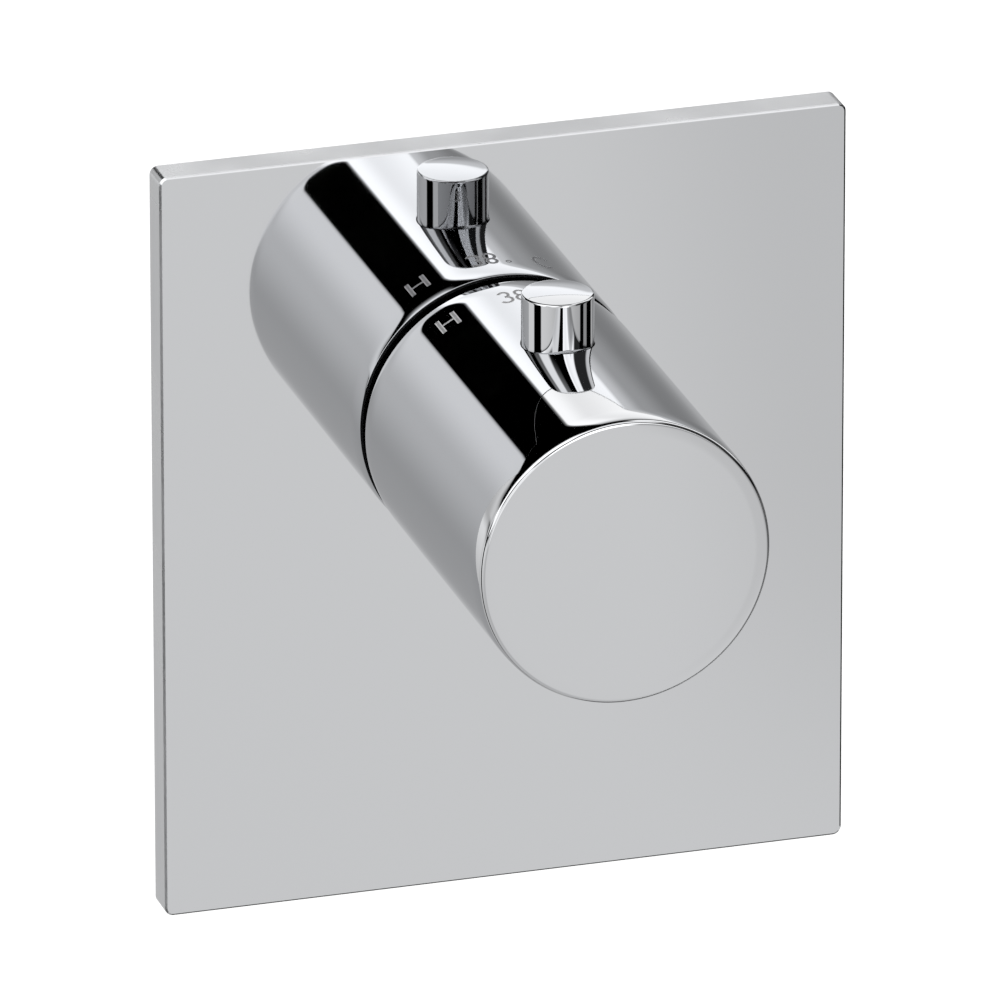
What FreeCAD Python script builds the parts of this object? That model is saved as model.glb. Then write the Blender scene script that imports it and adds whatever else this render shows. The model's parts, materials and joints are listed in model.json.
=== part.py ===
# Concealed thermostatic shower valve: a rectangular cover plate on the finished wall and one
# cylindrical temperature handle with a 38 degree safety button, on a brass body in the wall.
# Millimetres. +Z is up and the room is towards -Y. The origin is the centre of the four wall
# fixing holes, on the rear face of the mounting bracket, and the handle's axis runs through it.
# "Out" is the distance from that rear face towards the room, so a point's y is minus its out.
import FreeCAD, Part
import math
import os
import re
import Sketcher

doc = FreeCAD.newDocument("ShowerValve")

# ---------------------------------------------------------------- driving dimensions
DIMENSIONS = {
    # cover plate and its wall seal
    "plate_width": 120.0, "plate_height": 133.5, "plate_thick": 6.0, "plate_corner": 1.5,
    "plate_bevel": 0.35, "plate_rim": 5.0, "plate_recess": 3.5, "plate_hub_wall": 5.0,
    "plate_drop": 17.1, "gasket_width": 6.0, "plate_hole_gap": 0.4,
    # temperature handle and safety button
    "handle_radius": 25.25, "handle_length": 66.6, "handle_wall": 2.5, "handle_face": 3.0,
    "handle_gap": 1.2, "handle_edge": 0.9, "button_out": 29.8, "button_radius": 6.1,
    "button_rise": 8.65, "button_edge": 0.5, "button_flange": 1.1, "button_flange_thick": 1.0,
    "button_foot_radius": 2.0, "button_travel": 1.8, "flange_drop": 1.48,
    # handle insert and its screws
    "insert_out": 95.0, "insert_length": 12.0, "insert_hub": 8.5, "web_out": 99.0,
    "web_thick": 4.0, "insert_wall": 0.7, "insert_rim": 2.0, "grub_radius": 1.5,
    "grub_length": 6.0, "grub_depth": 0.8, "insert_screw": 2.0, "insert_screw_head": 3.5,
    "insert_screw_head_height": 2.4, "insert_screw_length": 12.0, "hex_key": 1.5,
    "hex_key_depth": 1.5, "tongue_screw": 1.2, "tongue_screw_head": 1.2,
    # safety stop: ring on the headwork and spring tongue on the insert
    "ring_out": 77.0, "ring_hub_length": 9.0, "ring_hub_wall": 2.5, "ring_flange": 2.5,
    "ring_gap": 2.25, "lug_length": 4.0, "lug_clear": 1.175, "lug_width": 5.5,
    "lug_inset": 0.4, "tongue_width": 6.0, "tongue_thick": 0.8, "tongue_drop": 3.75,
    "tongue_foot": 7.0, "tongue_gap": 0.3, "tab_height": 1.5, "tab_length": 2.6,
    "tab_gap": 0.1, "turn_cold": 125.0, "turn_hot": 35.0,
    # valve body
    "wall_depth": 56.0, "body_radius": 21.0, "body_front": 48.0, "bore_radius": 16.0,
    "bore_floor": 10.0, "neck_radius": 18.2, "neck_length": 4.0, "boss_radius": 14.5,
    "inlet_out": 33.0, "inlet_reach": 43.0, "outlet_out": 22.0, "outlet_reach": 46.0,
    "port_radius": 9.3, "port_depth": 12.0, "pocket_radius": 7.5, "pocket_depth": 12.0,
    "gallery_radius": 2.8, "gallery_shift": 4.2, "outlet_shift": 4.0,
    "outlet_pocket_lap": 1.0,
    # mounting bracket
    "bracket_width": 76.0, "bracket_height": 42.0, "bracket_thick": 2.0, "bracket_corner": 5.0,
    "fixing_x": 31.0, "fixing_z": 14.0, "fixing_radius": 2.75, "body_screw": 2.0,
    "body_screw_head": 3.9, "body_screw_length": 8.0, "body_screw_end": 0.3, "body_screw_x": 9.0,
    # wall sleeve that the plate slides on
    "sleeve_radius": 20.5, "sleeve_length": 18.0,
    # cartridge: ported sleeve with three lands
    "land_width": 3.0, "front_land": 4.0, "hot_chamber": 24.5, "chamber_width": 7.0,
    "waist_radius": 13.0, "shuttle_bore": 11.0, "mix_bore": 9.0, "sleeve_floor": 2.0,
    "hot_seat": 26.4, "window_width": 6.0, "window_length": 4.5, "cold_window_inset": 1.5,
    "hot_window_lap": 1.0, "mixed_window_rise": 3.0, "mixed_window_length": 5.0,
    "ring_section": 0.9, "bulb_hole": 5.0,
    # cartridge: headwork, nut and spindle
    "nose_out": 40.6, "flange_thick": 2.5, "headwork_radius": 13.0, "step_out": 74.0,
    "tip_radius": 10.5, "tip_out": 92.0, "cavity_radius": 8.5, "cavity_front": 72.0,
    "key_depth": 0.8, "key_width": 2.8, "nut_length": 5.5, "spindle_radius": 4.0,
    "spindle_front": 106.0, "collar_radius": 6.4, "collar_thick": 1.5, "screw_radius": 4.5,
    "screw_length": 12.5, "spline_teeth": 20.0, "spline_depth": 0.25, "journal_step": 4.0,
    "circlip_groove": 0.6, "circlip_grip": 0.55, "circlip_gap": 5.0, "circlip_back": 1.0,
    "key_way_margin": 4.0, "circlip_radius": 6.2, "circlip_thick": 1.0,
    # adjusting nut with the overload spring
    "adjuster_rear": 45.5, "adjuster_front": 67.0, "adjuster_face": 61.0, "skirt_wall": 1.3,
    "plunger_out": 47.0, "plunger_thick": 3.0, "plunger_boss": 2.8, "plunger_boss_length": 3.0,
    "retainer_width": 2.0, "retainer_inset": 0.2, "overload_wire": 0.6, "overload_turns": 5.0,
    # wax element, shuttle and return spring
    "shuttle_rear": 27.0, "shuttle_length": 13.0, "shuttle_wall": 1.6, "web_rear": 32.0,
    "shuttle_web": 3.0, "stem_radius": 3.2, "stem_front": 43.5, "pin_radius": 1.5,
    "bulb_radius": 4.6, "bulb_rear": 13.5, "element_flange": 6.2, "element_flange_thick": 3.2,
    "clamp_nut_radius": 5.2, "clamp_nut_thick": 2.5, "return_wire": 0.5, "return_turns": 7.0,
    "shuttle_ring_section": 0.6, "balance_hole": 1.1, "balance_circle": 7.3,
    "bulb_chamfer": 1.0, "stem_floor": 0.5, "spring_side_gap": 0.4, "return_side_gap": 0.2,
    "spring_end_gap": 0.05, "groove_side": 0.1,
    # check valves and filters
    "check_length": 11.1, "check_bore": 5.6, "check_seat": 2.0, "check_throat": 3.6,
    "spider_rise": 1.8, "spider_thick": 1.5, "poppet_radius": 4.6, "poppet_thick": 1.6,
    "poppet_stem": 1.2, "poppet_travel": 2.2, "check_wire": 0.3, "check_turns": 3.0,
    "check_ring_section": 0.6,
    "filter_thick": 0.8, "filter_hole": 0.7, "filter_pitch": 2.05, "check_ring_back": 1.6,
    "spider_hole": 1.1, "spider_circle": 3.7,
    # fits: slide and turn between moving parts, seat between parts that stay put
    "slide_fit": 0.05, "seat_fit": 0.05, "seal_gap": 0.02,
}

sheet = doc.addObject("Spreadsheet::Sheet", "Dim")
for row, (alias, number) in enumerate(DIMENSIONS.items(), start=1):
    sheet.set(f"A{row}", str(number))
    sheet.setAlias(f"A{row}", alias)
doc.recompute()


def cells(formula):
    """The formula with each dimension's name written as a reference to its cell."""
    return re.sub(r"[a-z][a-z_]+", lambda word: "Dim." + word[0] if word[0] in DIMENSIONS
                  else word[0], str(formula))


def size(alias):
    return DIMENSIONS[alias]


# Places along the handle's axis, as distances out from the mounting face.
PLATE_BACK = "wall_depth"
PLATE_FRONT = "(wall_depth + plate_thick)"
HANDLE_BACK = f"({PLATE_FRONT} + handle_gap)"
HANDLE_FRONT = f"({HANDLE_BACK} + handle_length)"
BUTTON_OUT = f"({PLATE_FRONT} + button_out)"
HOT_FRONT = "(hot_chamber + chamber_width)"
COLD_REAR = f"({HOT_FRONT} + land_width)"
COLD_FRONT = f"({COLD_REAR} + chamber_width)"
SLEEVE_FRONT = f"({COLD_FRONT} + front_land)"
HEADWORK_FLANGE = f"({SLEEVE_FRONT} + flange_thick)"
INLET_STEP = "(inlet_reach - port_depth)"
POCKET_FLOOR = f"({INLET_STEP} - pocket_depth)"
HANDLE_BORE = "(handle_radius - handle_wall)"
INSERT_SEAT = "(insert_out + insert_length)"
RING_RADIUS = f"({HANDLE_BORE} - ring_gap)"
TONGUE_HEIGHT = f"({HANDLE_BORE} - tongue_drop)"
TONGUE_SCREW_HEIGHT = f"({TONGUE_HEIGHT} - tongue_foot / 2)"

ROOM = FreeCAD.Rotation(FreeCAD.Vector(1, 0, 0), 90)
RIGHT = FreeCAD.Rotation(FreeCAD.Vector(0, 1, 0), 90)
LEFT = FreeCAD.Rotation(FreeCAD.Vector(0, 1, 0), -90)
UP = FreeCAD.Rotation()
DOWN = FreeCAD.Rotation(FreeCAD.Vector(1, 0, 0), 180)

nodes = []


def node(piece, label):
    """Marks a finished piece as one of the object's parts, under its own name."""
    piece.Label = label
    nodes.append(piece)
    return piece


def place(piece, rotation, x="0", out="0", z="0"):
    piece.Placement = FreeCAD.Placement(FreeCAD.Vector(0, 0, 0), rotation)
    piece.setExpression(".Placement.Base.x", cells(x))
    piece.setExpression(".Placement.Base.y", cells(f"-({out})"))
    piece.setExpression(".Placement.Base.z", cells(z))
    return piece


def rod(name, radius, length, rotation=ROOM, x="0", out="0", z="0"):
    """A plain cylinder that starts at the given place and runs along its direction."""
    piece = doc.addObject("Part::Cylinder", name)
    piece.setExpression("Radius", cells(radius))
    piece.setExpression("Height", cells(length))
    return place(piece, rotation, x, out, z)


def block(name, width, depth, height, x, out, z):
    """A box centred on x and z that runs from its out distance back by its depth."""
    piece = doc.addObject("Part::Box", name)
    piece.setExpression("Length", cells(width))
    piece.setExpression("Width", cells(depth))
    piece.setExpression("Height", cells(height))
    return place(piece, UP, f"({x}) - ({width}) / 2", out, f"({z}) - ({height}) / 2")


def spoke(name, width, depth, height, angle, out, low, shift="0"):
    """A box that stands up from a height over the handle's axis, turned round that axis."""
    piece = doc.addObject("Part::Box", name)
    piece.setExpression("Length", cells(width))
    piece.setExpression("Width", cells(depth))
    piece.setExpression("Height", cells(height))
    turn = FreeCAD.Rotation(FreeCAD.Vector(0, -1, 0), angle)
    across, up = math.cos(math.radians(angle)), math.sin(math.radians(angle))
    left = f"({shift} - ({width}) / 2)"
    return place(piece, turn, f"{left} * {across:.9f} - ({low}) * {up:.9f}", out,
                 f"{left} * {up:.9f} + ({low}) * {across:.9f}")


def combine(kind, name, pieces):
    """One solid from several pieces, fused, or the first piece less the others."""
    if kind == "cut" and len(pieces) > 2:
        pieces = [pieces[0], combine("fuse", name + "_tools", pieces[1:])]
    if kind == "cut":
        result = doc.addObject("Part::Cut", name)
        result.Base, result.Tool = pieces
    else:
        result = doc.addObject("Part::MultiFuse", name)
        result.Shapes = pieces
        result.Refine = True
    return result


def turned(name, outline, rotation=ROOM, x="0", out="0", z="0"):
    """A lathe-turned body. The outline lists (radius, distance along the axis) corners."""
    body = doc.addObject("PartDesign::Body", name)
    sketch = body.newObject("Sketcher::SketchObject", name + "_outline")
    plane = next(f for f in body.Origin.OriginFeatures if f.Role == "XZ_Plane")
    sketch.AttachmentSupport = [(plane, "")]
    sketch.MapMode = "FlatFace"
    count = len(outline)
    start = [FreeCAD.Vector(60 + 40 * math.cos(2 * math.pi * i / count),
                            60 + 40 * math.sin(2 * math.pi * i / count), 0) for i in range(count)]
    for i in range(count):
        sketch.addGeometry(Part.LineSegment(start[i], start[(i + 1) % count]))
    for i in range(count):
        sketch.addConstraint(Sketcher.Constraint("Coincident", i, 2, (i + 1) % count, 1))
    for i, (radius, along) in enumerate(outline):
        for direction, place_on_axis, value in (("DistanceX", radius, start[i].x),
                                                ("DistanceY", along, start[i].y)):
            index = sketch.addConstraint(Sketcher.Constraint(direction, -1, 1, i, 1, value))
            sketch.setExpression(f"Constraints[{index}]", cells(place_on_axis))
    turn = body.newObject("PartDesign::Revolution", name + "_turn")
    turn.Profile = sketch
    turn.ReferenceAxis = (sketch, ["V_Axis"])
    turn.Angle = 360
    place(body, rotation, x, out, z)
    return body


def washer(inner, outer, rear, front):
    """The outline of a plain ring."""
    return [(inner, rear), (outer, rear), (outer, front), (inner, front)]


def seal_ring(name, middle, section, rotation=ROOM, x="0", out="0", z="0"):
    """A rubber ring of round section."""
    ring = doc.addObject("Part::Torus", name)
    ring.setExpression("Radius1", cells(middle))
    ring.setExpression("Radius2", cells(section))
    return place(ring, rotation, x, out, z)


def coil(label, middle, wire, low, high, turns, rotation, x=0.0, out=0.0):
    """A round-wire spring between two seats: a pipe along a helix drawn as tangent arcs."""
    rise = (high - low - 2 * wire - 2 * size("spring_end_gap")) / (2 * math.pi * turns)

    def point(angle):
        return FreeCAD.Vector(middle * math.cos(angle), middle * math.sin(angle),
                              low + wire + size("spring_end_gap") + rise * angle)

    def heading(angle):
        direction = FreeCAD.Vector(-middle * math.sin(angle), middle * math.cos(angle), rise)
        return direction.normalize()

    def arc(first, last, corner):
        middle_of_chord = (first + last) * 0.5
        half = (last - first).Length / 2
        lean = math.acos(min(1.0, half / (corner - first).Length))
        crown = middle_of_chord + (corner - middle_of_chord) * (math.tan(lean / 2) / math.tan(lean))
        return Part.Arc(first, crown, last).toShape()

    arcs = []
    quarters = int(4 * turns)
    for quarter in range(quarters):
        a, b = math.pi / 2 * quarter, math.pi / 2 * (quarter + 1)
        first, last, leave, arrive = point(a), point(b), heading(a), heading(b)
        chord, sum_of_headings = last - first, leave + arrive
        spread = 2 * (1 - leave.dot(arrive))
        reach = chord.dot(sum_of_headings)
        reach = (math.sqrt(reach ** 2 + spread * chord.dot(chord)) - reach) / spread
        meet = (first + leave * reach + last - arrive * reach) * 0.5
        arcs += [arc(first, meet, first + leave * reach), arc(meet, last, last - arrive * reach)]
    section = Part.Wire([Part.makeCircle(wire, point(0), heading(0))])
    spring = doc.addObject("Part::Feature", label)
    spring.Shape = Part.Wire(arcs).makePipeShell([section], True, False)
    spring.Placement = FreeCAD.Placement(FreeCAD.Vector(x, -out, 0), rotation)
    gap = 2 * math.pi * rise - 2 * wire
    length = turns * math.hypot(2 * math.pi * middle, 2 * math.pi * rise)
    print(f"{label}: gap between turns {gap:.2f}, volume {spring.Shape.Volume:.1f}"
          f" against section times length {math.pi * wire ** 2 * length:.1f}")
    return node(spring, label)


# ---------------------------------------------------------------- what the room sees

def rounded_plate(name, width, height, thick, corner, out, z):
    """A rectangular sheet with rounded corners, padded from a sketch of lines and arcs."""
    body = doc.addObject("PartDesign::Body", name)
    sketch = body.newObject("Sketcher::SketchObject", name + "_outline")
    plane = next(f for f in body.Origin.OriginFeatures if f.Role == "XY_Plane")
    sketch.AttachmentSupport = [(plane, "")]
    sketch.MapMode = "FlatFace"
    wide, tall, bend = 40.0, 50.0, 4.0
    quarter = math.pi / 2
    for i, (sx, sy) in enumerate(((1, 1), (-1, 1), (-1, -1), (1, -1))):
        middle = FreeCAD.Vector(sx * (wide - bend), sy * (tall - bend), 0)
        circle = Part.Circle(middle, FreeCAD.Vector(0, 0, 1), bend)
        sketch.addGeometry(Part.ArcOfCircle(circle, i * quarter, (i + 1) * quarter))
    for i in range(4):
        first = sketch.Geometry[i].EndPoint
        last = sketch.Geometry[(i + 1) % 4].StartPoint
        sketch.addGeometry(Part.LineSegment(first, last))
    for i in range(4):
        sketch.addConstraint(Sketcher.Constraint("Tangent", i, 2, 4 + i, 1))
        sketch.addConstraint(Sketcher.Constraint("Tangent", 4 + i, 2, (i + 1) % 4, 1))
        across = "Horizontal" if i in (0, 2) else "Vertical"
        sketch.addConstraint(Sketcher.Constraint(across, 4 + i))
    for i in range(1, 4):
        sketch.addConstraint(Sketcher.Constraint("Equal", 0, i))
    rule = sketch.addConstraint(Sketcher.Constraint("Radius", 0, bend))
    sketch.setExpression(f"Constraints[{rule}]", cells(corner))
    for direction, point, across in (("DistanceX", (0, 3), width), ("DistanceY", (0, 3), height)):
        rule = sketch.addConstraint(Sketcher.Constraint(direction, -1, 1, *point, 30.0))
        sketch.setExpression(f"Constraints[{rule}]", cells(f"({across}) / 2 - ({corner})"))
    for direction, across in (("DistanceX", width), ("DistanceY", height)):
        rule = sketch.addConstraint(Sketcher.Constraint(direction, 2, 3, 0, 3, 60.0))
        sketch.setExpression(f"Constraints[{rule}]", cells(f"({across}) - 2 * ({corner})"))
    pad = body.newObject("PartDesign::Pad", name + "_pad")
    pad.Profile = sketch
    pad.setExpression("Length", cells(thick))
    place(body, ROOM, "0", out, z)
    return body


def cover_plate():
    """Flat polished plate, hollow behind a rim, with a hub round the hole for the sleeve."""
    hole = "(sleeve_radius + plate_hole_gap)"
    plate = rounded_plate("plate_blank", "plate_width", "plate_height", "plate_thick",
                          "plate_corner", PLATE_BACK, "-plate_drop")
    recess = rounded_plate("plate_hollow", "plate_width - 2 * plate_rim",
                           "plate_height - 2 * plate_rim", "plate_recess", "plate_corner",
                           PLATE_BACK, "-plate_drop")
    hub = rod("plate_hub", f"{hole} + plate_hub_wall", "plate_recess", out=PLATE_BACK)
    hollow = combine("cut", "plate_hollow_round_hub", [recess, hub])
    bore = rod("plate_bore", hole, "plate_thick", out=PLATE_BACK)
    groove = turned("plate_seal_groove", washer(
        "sleeve_radius", "sleeve_radius + 2 * ring_section + 2 * seal_gap",
        f"{PLATE_BACK} + plate_recess - 2.4 * ring_section",
        f"{PLATE_BACK} + plate_recess"))
    plate = combine("cut", "plate_cut", [plate, hollow, bore, groove])
    front = -(size("wall_depth") + size("plate_thick"))
    return node(broken_edges("Part::Chamfer", plate, [front], "plate_bevel", rings=False),
                "cover_plate")


def broken_edges(kind, piece, fronts, amount, rings):
    """Bevels or rounds the outer edges that lie in the planes across y given in fronts."""
    doc.recompute()
    box = piece.Shape.BoundBox
    edges = []
    for i, edge in enumerate(piece.Shape.Edges, start=1):
        across = edge.BoundBox
        flat = across.YLength < 1e-4 and any(abs(across.YMin - y) < 1e-4 for y in fronts)
        outer = not edge.Closed or abs(across.XMax - box.XMax) < 1e-4
        if flat and outer and edge.Closed == rings:
            edges.append((i, size(amount), size(amount)))
    result = doc.addObject(kind, piece.Name + "_edges")
    result.Base = piece
    result.Edges = edges
    return result


def wall_gasket():
    """Foam frame that lies in the plate's hollow, against the rim, and meets the wall."""
    outer = rounded_plate("gasket_blank", "plate_width - 2 * plate_rim - 2 * seat_fit",
                          "plate_height - 2 * plate_rim - 2 * seat_fit", "plate_recess",
                          "plate_corner", PLATE_BACK, "-plate_drop")
    inner = rounded_plate("gasket_opening",
                          "plate_width - 2 * plate_rim - 2 * gasket_width",
                          "plate_height - 2 * plate_rim - 2 * gasket_width", "plate_recess",
                          "plate_corner", PLATE_BACK, "-plate_drop")
    return node(combine("cut", "gasket", [outer, inner]), "wall_gasket")


def temperature_handle():
    """Turned cup, closed at the front, with a cross hole for the button and one for the grub."""
    cup = turned("handle_cup", [
        (HANDLE_BORE, HANDLE_BACK), ("handle_radius", HANDLE_BACK),
        ("handle_radius", HANDLE_FRONT), ("0", HANDLE_FRONT),
        ("0", f"{HANDLE_FRONT} - handle_face"), (HANDLE_BORE, f"{HANDLE_FRONT} - handle_face")])
    rear = size("wall_depth") + size("plate_thick") + size("handle_gap")
    cup = broken_edges("Part::Fillet", cup, [-rear, -rear - size("handle_length")],
                       "handle_edge", rings=True)
    button_hole = rod("handle_button_hole", "button_radius + slide_fit", "2 * handle_radius",
                      UP, out=BUTTON_OUT)
    grub_hole = rod("handle_grub_hole", "grub_radius + seat_fit", "2 * handle_radius",
                    DOWN, out="web_out + web_thick / 2")
    return node(combine("cut", "handle_drilled", [cup, button_hole, grub_hole]),
                "temperature_handle")


def stop_button():
    """Push button through the top of the handle: flanged below, with a foot on the tongue."""
    top = "(handle_radius + button_rise)"
    flange_top = f"({HANDLE_BORE} - flange_drop)"
    foot = f"({TONGUE_HEIGHT} + tongue_thick)"
    flange = "(button_radius + button_flange)"
    body = turned("button_turned", [
        ("0", foot), ("button_foot_radius", foot),
        ("button_foot_radius", f"{flange_top} - button_flange_thick"),
        (flange, f"{flange_top} - button_flange_thick"), (flange, flange_top),
        ("button_radius", flange_top), ("button_radius", f"{top} - button_edge"),
        ("button_radius - button_edge", top), ("0", top)], UP, out=BUTTON_OUT)
    return node(body, "safety_stop_button")


def handle_insert():
    """Polymer insert: a splined hub on the spindle and a web that fills the handle's bore."""
    head = "(insert_screw_head + 2 * seat_fit)"
    web_front = "(web_out + web_thick)"
    hub = turned("insert_hub", [
        ("0", INSERT_SEAT), ("0", f"{INSERT_SEAT} - insert_wall"),
        ("spindle_radius + seat_fit", f"{INSERT_SEAT} - insert_wall"),
        ("spindle_radius + seat_fit", "insert_out"), ("insert_hub", "insert_out"),
        ("insert_hub", "web_out"), (f"{HANDLE_BORE} - seat_fit", "web_out"),
        (f"{HANDLE_BORE} - seat_fit", web_front), ("insert_hub", web_front),
        ("insert_hub", f"{INSERT_SEAT} + insert_rim"), (head, f"{INSERT_SEAT} + insert_rim"),
        (head, INSERT_SEAT)])
    screw_hole = rod("insert_screw_hole", "insert_screw + seat_fit", "insert_length",
                     out="spindle_front")
    grub_hole = rod("insert_grub_hole", "grub_radius", "handle_radius - insert_hub",
                    DOWN, out="web_out + web_thick / 2", z="-insert_hub")
    tongue_hole = rod("insert_tongue_hole", "tongue_screw", "web_thick", out="web_out",
                      z=TONGUE_SCREW_HEIGHT)
    return node(combine("cut", "insert_drilled", [hub, screw_hole, grub_hole, tongue_hole]),
                "handle_insert")


def handle_screws():
    """Screw through the insert into the spindle, and the grub screw under the handle."""
    end = f"({INSERT_SEAT} - insert_screw_length)"
    top_of_head = f"({INSERT_SEAT} + insert_screw_head_height)"
    screw = turned("insert_screw_turned", [
        ("0", end), ("insert_screw - slide_fit", end), ("insert_screw - slide_fit", INSERT_SEAT),
        ("insert_screw_head", INSERT_SEAT), ("insert_screw_head", top_of_head),
        ("0", top_of_head)])
    socket = hexagon("insert_screw_socket", "hex_key", "hex_key_depth",
                     f"{top_of_head} - hex_key_depth")
    node(combine("cut", "insert_screw_cut", [screw, socket]), "insert_screw")
    top = "(handle_radius - grub_depth)"
    grub = rod("grub_blank", "grub_radius - slide_fit", "grub_length", DOWN,
               out="web_out + web_thick / 2", z=f"-{top} + grub_length")
    grub_socket = rod("grub_socket", "grub_radius / 2", "grub_length / 3", DOWN,
                      out="web_out + web_thick / 2", z=f"-{top} + grub_length / 3")
    node(combine("cut", "grub_cut", [grub, grub_socket]), "handle_grub_screw")


def hexagon(name, apothem, depth, out):
    """A hexagonal prism along the handle's axis, as a key's socket or a nut's outside."""
    prism = doc.addObject("Part::Prism", name)
    prism.Polygon = 6
    prism.setExpression("Circumradius", cells(f"({apothem}) / cos(30 deg)"))
    prism.setExpression("Height", cells(depth))
    return place(prism, ROOM, out=out)


def safety_stop():
    """Spring tongue under the button and the ring of lugs that its turned-down tab meets."""
    rear = "(ring_out + ring_flange)"
    leaf = block("tongue_leaf", "tongue_width", f"web_out - {rear} - tongue_gap",
                 "tongue_thick", "0", "web_out", f"{TONGUE_HEIGHT} + tongue_thick / 2")
    tab = block("tongue_tab", "tongue_width", "tab_length", "tab_height", "0",
                f"{rear} + tongue_gap + tab_length", f"{TONGUE_HEIGHT} - tab_height / 2")
    foot = block("tongue_bent_foot", "tongue_width", "tongue_thick", "tongue_foot", "0",
                 "web_out", TONGUE_SCREW_HEIGHT)
    head = "(web_out - tongue_thick)"
    hole = rod("tongue_hole", "tongue_screw + slide_fit", "tongue_thick", out=head,
               z=TONGUE_SCREW_HEIGHT)
    strip = combine("fuse", "tongue_strip", [leaf, tab, foot])
    node(combine("cut", "tongue_cut", [strip, hole]), "safety_stop_tongue")
    node(turned("tongue_screw_turned", [
        ("0", f"{head} - tongue_screw_head"),
        ("2 * tongue_screw", f"{head} - tongue_screw_head"), ("2 * tongue_screw", head),
        ("tongue_screw - slide_fit", head), ("tongue_screw - slide_fit", "web_out + web_thick"),
        ("0", "web_out + web_thick")], z=TONGUE_SCREW_HEIGHT), "tongue_screw")

    hub_radius = "(tip_radius + seat_fit + ring_hub_wall)"
    ring = turned("stop_ring_turned", [
        ("tip_radius + seat_fit", "ring_out"), (RING_RADIUS, "ring_out"),
        (RING_RADIUS, rear), (hub_radius, rear), (hub_radius, "ring_out + ring_hub_length"),
        ("tip_radius + seat_fit", "ring_out + ring_hub_length")])
    # The tongue bends from its foot, so its tab drops by more than the button's travel. The 38
    # degree lug ends above the tab's pressed place, and the end stops reach down to the hub.
    # Each lug stands beside the tab in its own end place.
    beside = "((tongue_width + lug_width) / 2 + tab_gap)"
    top = f"({RING_RADIUS} - lug_inset)"
    lever = f"(web_out - {rear} - tongue_gap - tab_length / 2) / (web_out - {BUTTON_OUT})"
    pressed = f"({TONGUE_HEIGHT} + tongue_thick - button_travel * {lever})"
    lugs = []
    for name, angle, side, height in (
            ("safety", 0.0, 1, f"({top} - {pressed} - lug_clear)"),
            ("hot_end", size("turn_hot"), 1, f"({top} - {hub_radius} + ring_hub_wall)"),
            ("cold_end", -size("turn_cold"), -1, f"({top} - {hub_radius} + ring_hub_wall)")):
        lugs.append(spoke(f"lug_{name}", "lug_width", "lug_length", height, angle,
                          f"{rear} + lug_length", f"{top} - {height}", f"-({side}) * {beside}"))
    node(combine("fuse", "stop_ring_lugs", [ring] + lugs), "safety_stop_ring")


# ---------------------------------------------------------------- valve body in the wall

def valve_body():
    """Brass casting: barrel for the cartridge, two inlet bosses and the outlet boss below."""
    barrel = rod("barrel", "body_radius", "body_front - bracket_thick", out="bracket_thick")
    neck = rod("neck", "neck_radius", "neck_length", out="body_front")
    right = rod("boss_right", "boss_radius", "inlet_reach", RIGHT, out="inlet_out")
    left = rod("boss_left", "boss_radius", "inlet_reach", LEFT, out="inlet_out")
    down = rod("boss_outlet", "boss_radius", "outlet_reach", DOWN, out="outlet_out")
    casting = combine("fuse", "casting", [barrel, neck, right, left, down])
    cuts = [rod("barrel_bore", "bore_radius", "body_front + neck_length - bore_floor",
                out="bore_floor")]
    for side, turn, sign, shift in (("cold", RIGHT, 1, "gallery_shift"),
                                    ("hot", LEFT, -1, "-gallery_shift")):
        cuts += [
            rod(f"port_{side}", "port_radius", "port_depth", turn,
                x=f"{sign} * {INLET_STEP}", out="inlet_out"),
            rod(f"pocket_{side}", "pocket_radius", "pocket_depth", turn,
                x=f"{sign} * {POCKET_FLOOR}", out="inlet_out"),
            rod(f"gallery_{side}", "gallery_radius", POCKET_FLOOR, turn,
                out=f"inlet_out + {shift}")]
    cuts += [
        rod("port_outlet", "port_radius", "port_depth", DOWN,
            z="-(outlet_reach - port_depth)", out="outlet_out"),
        rod("pocket_outlet", "pocket_radius", "outlet_reach - port_depth - body_radius + "
            "outlet_pocket_lap", DOWN, z="-(body_radius - outlet_pocket_lap)", out="outlet_out"),
        rod("gallery_outlet", "gallery_radius", "body_radius", DOWN,
            out="outlet_out - outlet_shift")]
    for sign in (1, -1):
        cuts.append(rod(f"body_screw_hole_{sign + 1}", "body_screw", "body_screw_length - "
                        "bracket_thick", x=f"{sign} * body_screw_x", out="bracket_thick"))
    return node(combine("cut", "casting_bored", [casting] + cuts), "valve_body")


def mounting_bracket():
    """Steel plate behind the body with four holes for wall screws, and its two body screws."""
    sheet_metal = rounded_plate("bracket_blank", "bracket_width", "bracket_height",
                                "bracket_thick", "bracket_corner", "0", "0")
    holes, screws = [], []
    for sx in (1, -1):
        for sz in (1, -1):
            holes.append(rod(f"fixing_{sx + 1}{sz + 1}", "fixing_radius", "bracket_thick",
                             x=f"{sx} * fixing_x", z=f"{sz} * fixing_z"))
        seat = doc.addObject("Part::Cone", f"screw_seat_{sx + 1}")
        seat.setExpression("Radius1", cells("body_screw_head + seat_fit"))
        seat.setExpression("Radius2", cells("body_screw + seat_fit"))
        seat.setExpression("Height", cells("bracket_thick"))
        holes.append(place(seat, ROOM, x=f"{sx} * body_screw_x"))
        screws.append(turned(f"body_screw_{sx + 1}", [
            ("0", "0"), ("body_screw_head", "0"),
            ("body_screw - slide_fit", "bracket_thick"),
            ("body_screw - slide_fit", "body_screw_length - body_screw_end"),
            ("0", "body_screw_length - body_screw_end")], x=f"{sx} * body_screw_x"))
    node(combine("cut", "bracket_drilled", [sheet_metal] + holes), "mounting_bracket")
    pair = doc.addObject("Part::Compound", "bracket_screw_pair")
    pair.Links = screws
    return node(pair, "bracket_screws")


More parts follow.
